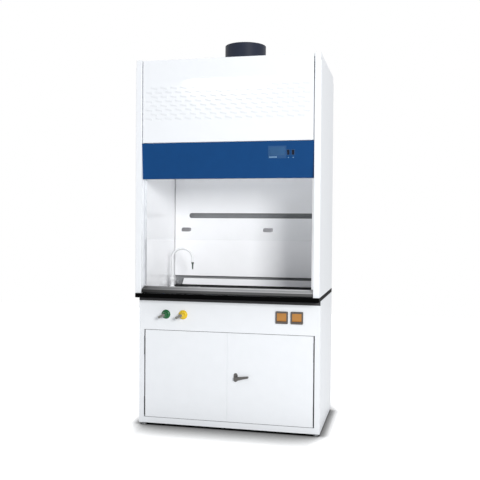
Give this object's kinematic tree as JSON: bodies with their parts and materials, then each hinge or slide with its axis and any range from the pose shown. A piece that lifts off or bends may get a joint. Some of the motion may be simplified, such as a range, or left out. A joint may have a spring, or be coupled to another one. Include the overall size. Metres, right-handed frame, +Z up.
{
  "type": "fume hood",
  "caption": "Floor-standing fume hood: white cabinet with a sliding glass sash, blue control band, black worktop, cupboard with doors, service taps and a round exhaust collar.",
  "frame": {"origin": "on the floor, at the centre of the hood's bounding box seen from above", "axes": "+X to the user's right, +Y from the front to the back, +Z up"},
  "size_m": [1.2, 0.79, 2.58],
  "materials": {
    "white_enamel": "smooth powder coat, satin",
    "liner_panel": "smooth laminate, satin",
    "dark_liner": "smooth laminate, matt",
    "blue_enamel": "smooth powder coat, satin",
    "black_worktop": "dense resin, fine matt",
    "sill_enamel": "powder coat, satin",
    "sash_glass": "clear, polished",
    "lens_glass": "clear, polished",
    "sash_metal": "anodised, satin",
    "pull_plastic": "moulded, semi-gloss",
    "collar_paint": "dark coat, satin",
    "zinc_steel": "zinc plated, satin",
    "hinge_steel": "dark coat, satin",
    "latch_zinc": "cast, satin",
    "cable_steel": "stranded wire",
    "pulley_plastic": "moulded, matt",
    "weight_steel": "mill finish with a dark coat",
    "faucet_coat": "epoxy coat, gloss",
    "nozzle_plastic": "moulded, matt",
    "cup_plastic": "moulded, satin",
    "valve_green": "moulded, gloss",
    "valve_yellow": "moulded, gloss",
    "valve_grey": "moulded, satin",
    "valve_brass": "turned, satin",
    "outlet_plastic": "moulded, satin",
    "flap_amber": "moulded, semi-gloss",
    "module_plastic": "moulded, satin",
    "rocker_plastic": "moulded, semi-gloss",
    "lamp_enamel": "smooth coat, gloss",
    "tube_phosphor": "coated tube, smooth"
  },
  "bodies": {
    "cabinet": {"base_shell": "white_enamel", "base_front": "white_enamel", "base_shelf": "white_enamel", "left_side_panel": "white_enamel", "right_side_panel": "white_enamel", "rear_panel": "white_enamel", "roof_panel": "white_enamel", "upper_front_panel": "white_enamel", "side_liners": "liner_panel", "ceiling_liner": "liner_panel", "main_baffle": "liner_panel", "upper_baffle": "liner_panel", "lower_baffle": "liner_panel", "rear_liner": "dark_liner", "control_fascia": "blue_enamel", "worktop": "black_worktop", "airfoil_sill": "sill_enamel", "lamp_lens": "lens_glass", "sash_guides": "sash_metal", "exhaust_collar": "collar_paint", "levelling_feet": "zinc_steel", "pulley_brackets": "zinc_steel", "baffle_brackets": "zinc_steel", "frame_hinge_leaves": "hinge_steel", "sash_cables": "cable_steel", "sash_cable_legs": "cable_steel", "weight_cable_legs": "cable_steel", "faucet_column": "faucet_coat", "cup_sink": "cup_plastic", "green_valve_rosette": "valve_green", "yellow_valve_rosette": "valve_yellow", "valve_bodies": "valve_brass", "outlet_frames": "outlet_plastic", "outlet_sockets": "outlet_plastic", "control_module": "module_plastic", "lamp_housing": "lamp_enamel", "lamp_tube": "tube_phosphor"},
    "left_door_body": {"left_door": "white_enamel", "left_hinge_leaves": "hinge_steel"},
    "right_door_body": {"right_door": "white_enamel", "right_hinge_leaves": "hinge_steel", "latch_plate": "latch_zinc"},
    "latch": {"latch_handle": "latch_zinc", "latch_cam": "latch_zinc"},
    "sash": {"sash_glass": "sash_glass", "sash_rails": "sash_metal", "sash_pulls": "pull_plastic"},
    "weight": {"counterweight": "weight_steel"},
    "front_wheels": {"front_pulleys": "pulley_plastic"},
    "rear_wheels": {"rear_pulleys": "pulley_plastic"},
    "green_valve": {"green_valve_knob": "valve_green", "green_valve_lever": "valve_grey"},
    "yellow_valve": {"yellow_valve_knob": "valve_yellow", "yellow_valve_lever": "valve_grey"},
    "spout": {"faucet_spout": "faucet_coat", "faucet_nozzle": "nozzle_plastic"},
    "left_flap": {"left_outlet_flap": "flap_amber"},
    "right_flap": {"right_outlet_flap": "flap_amber"},
    "fan_rocker": {"fan_switch": "rocker_plastic"},
    "lamp_rocker": {"lamp_switch": "rocker_plastic"}
  },
  "joints": [
    {"name": "sash_slide", "type": "slide", "parent": "cabinet", "child": "sash", "axis": [0, 0, 1], "range_m": [-0.295, 0.3], "deforming": ["sash_cable_legs"]},
    {"name": "counterweight_slide", "type": "slide", "parent": "cabinet", "child": "weight", "axis": [0, 0, 1], "range_m": [-0.3, 0.295], "deforming": ["weight_cable_legs"]},
    {"name": "front_pulley_turn", "type": "hinge", "parent": "cabinet", "child": "front_wheels", "pos_m": [0, -0.299, 2.3], "axis": [1, 0, 0], "range_deg": [-665, 665]},
    {"name": "rear_pulley_turn", "type": "hinge", "parent": "cabinet", "child": "rear_wheels", "pos_m": [0, 0.345, 2.3], "axis": [1, 0, 0], "range_deg": [-665, 665]},
    {"name": "left_door_hinge", "type": "hinge", "parent": "cabinet", "child": "left_door_body", "pos_m": [-0.561, -0.298, 0.3435], "axis": [0, 0, -1], "range_deg": [0, 110]},
    {"name": "right_door_hinge", "type": "hinge", "parent": "cabinet", "child": "right_door_body", "pos_m": [0.561, -0.298, 0.3435], "axis": [0, 0, 1], "range_deg": [0, 110]},
    {"name": "latch_turn", "type": "hinge", "parent": "right_door_body", "child": "latch", "pos_m": [0.062, -0.298, 0.34], "axis": [0, 1, 0], "range_deg": [0, 90]},
    {"name": "green_valve_turn", "type": "hinge", "parent": "cabinet", "child": "green_valve", "pos_m": [-0.415, -0.298, 0.738], "axis": [0, -1, 0], "range_deg": [0, 90]},
    {"name": "yellow_valve_turn", "type": "hinge", "parent": "cabinet", "child": "yellow_valve", "pos_m": [-0.298, -0.298, 0.738], "axis": [0, -1, 0], "range_deg": [0, 90]},
    {"name": "spout_swivel", "type": "hinge", "parent": "cabinet", "child": "spout", "pos_m": [-0.503, 0.097, 0.95], "axis": [0, 0, 1], "range_deg": [-75, 75]},
    {"name": "left_flap_hinge", "type": "hinge", "parent": "cabinet", "child": "left_flap", "pos_m": [0.3555, -0.307, 0.7687], "axis": [-1, 0, 0], "range_deg": [0, 90]},
    {"name": "right_flap_hinge", "type": "hinge", "parent": "cabinet", "child": "right_flap", "pos_m": [0.452, -0.307, 0.7687], "axis": [-1, 0, 0], "range_deg": [0, 90]},
    {"name": "fan_switch_rock", "type": "hinge", "parent": "cabinet", "child": "fan_rocker", "pos_m": [0.398, -0.35913, 1.7791], "axis": [-1, 0, 0], "range_deg": [0, 16]},
    {"name": "lamp_switch_rock", "type": "hinge", "parent": "cabinet", "child": "lamp_rocker", "pos_m": [0.428, -0.35913, 1.7791], "axis": [-1, 0, 0], "range_deg": [0, 16]}
  ],
  "couplings": [
    {"joint": "counterweight_slide", "follows": "sash_slide", "ratio": -1},
    {"joint": "front_pulley_turn", "follows": "sash_slide", "rad_per_m": -38.462},
    {"joint": "rear_pulley_turn", "follows": "sash_slide", "rad_per_m": -38.462}
  ]
}
